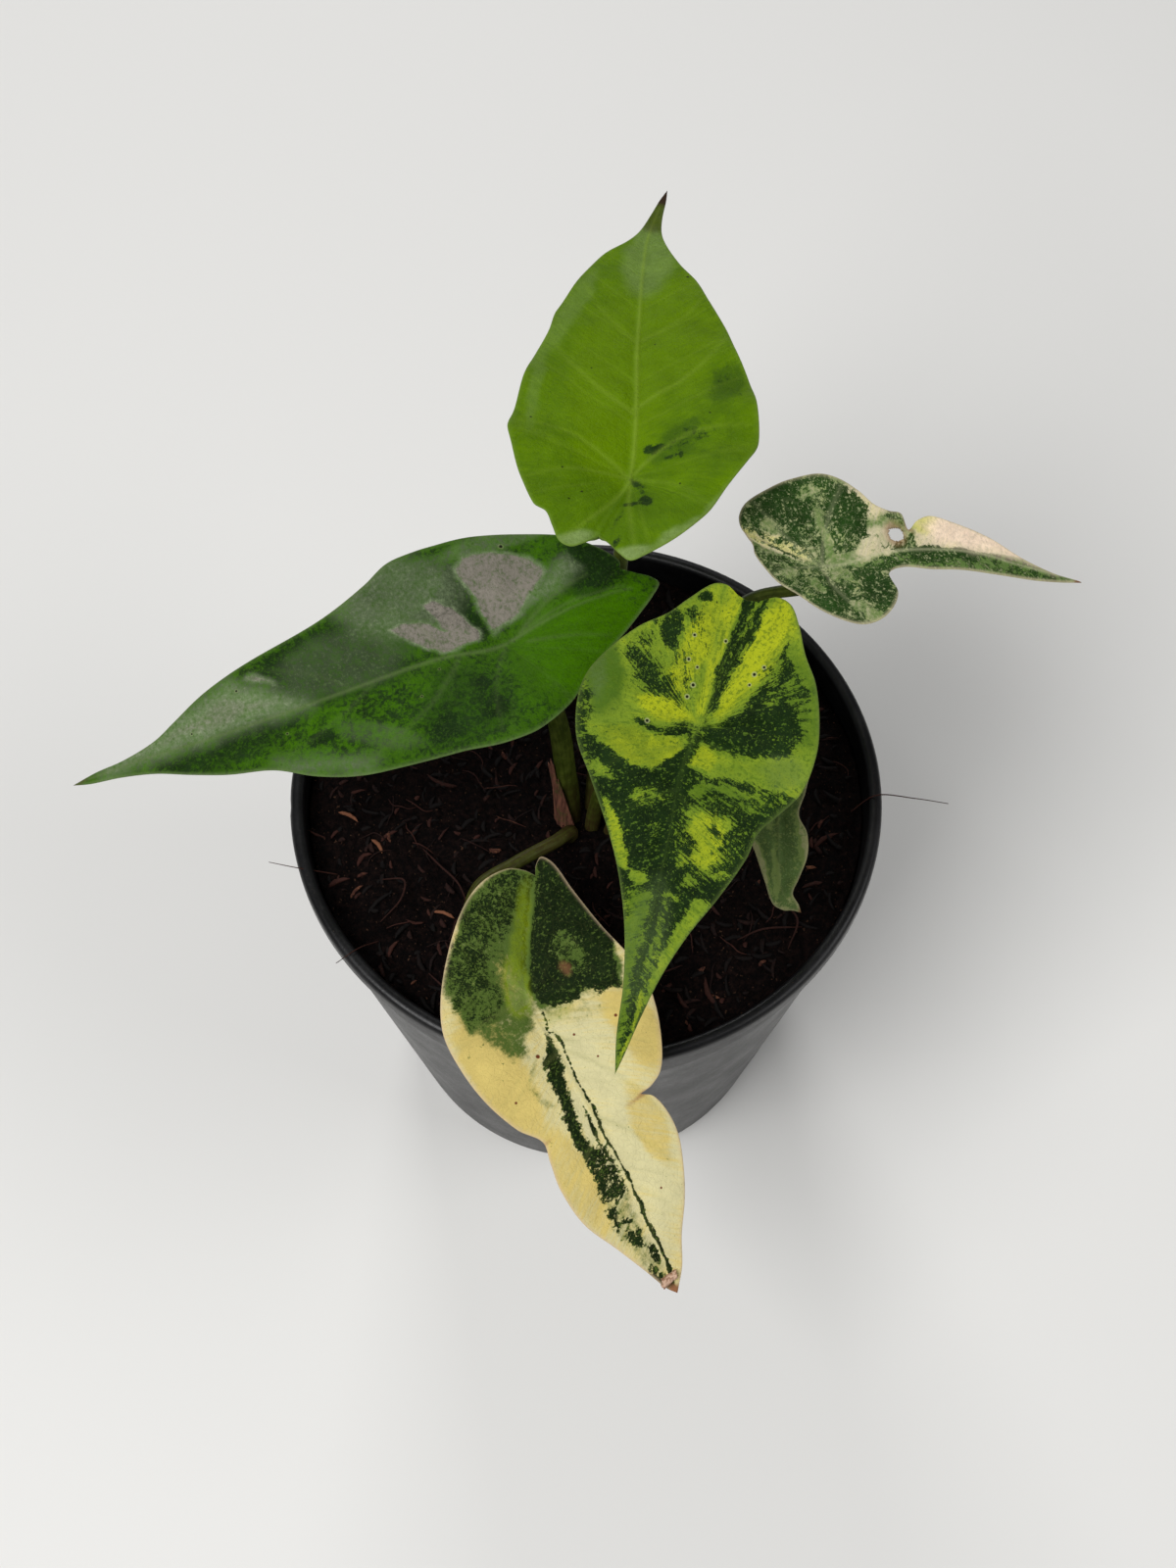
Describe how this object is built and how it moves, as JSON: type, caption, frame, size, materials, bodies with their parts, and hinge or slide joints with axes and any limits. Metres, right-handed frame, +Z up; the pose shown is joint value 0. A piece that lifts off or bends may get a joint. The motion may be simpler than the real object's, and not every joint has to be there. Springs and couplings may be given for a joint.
{
  "type": "potted variegated alocasia",
  "caption": "Young variegated alocasia: lime, green, yellow-mottled and cream arrow-shaped leaves on slender stalks, growing from dark coir mix in a round nursery pot.",
  "frame": {"origin": "centre of the pot's flat underside, on the surface it stands on", "axes": "+Z up; -Y the side that faces the camera of the reference view; +X to the right in that view"},
  "size_m": [0.1872, 0.2119, 0.1841],
  "materials": {
    "pot_plastic": "black moulded plastic, slightly glossy on the rim, with fine scratches and dust",
    "coir_mix": null,
    "dry_sheath": "thin dry papery sheath, pinkish brown",
    "lime_blade": "lime green waxy leaf with a pale rib and a few dark green marks",
    "green_blade": "mid green glossy leaf with dark green mottles and a pale rib",
    "yellow_blade": "dark green leaf with yellow and lime streaks and speckles",
    "cream_blade": "cream leaf with green back lobes and a broken green stripe along the rib",
    "mottled_blade": "green and cream mottled leaf",
    "pale_blade": "pale green mottled leaf with cream margins",
    "stalk_skin": "smooth olive-green stalk, browner towards the foot"
  },
  "bodies": {
    "root": {"pot": "pot_plastic", "soil": "coir_mix", "sheath": "dry_sheath", "blade_back": "lime_blade", "blade_left": "green_blade", "blade_centre": "yellow_blade", "blade_front": "cream_blade", "blade_right": "mottled_blade", "blade_small": "pale_blade", "petiole_back": "stalk_skin", "petiole_left": "stalk_skin", "petiole_centre": "stalk_skin", "petiole_front": "stalk_skin", "petiole_right": "stalk_skin", "petiole_small": "stalk_skin"}
  },
  "joints": []
}
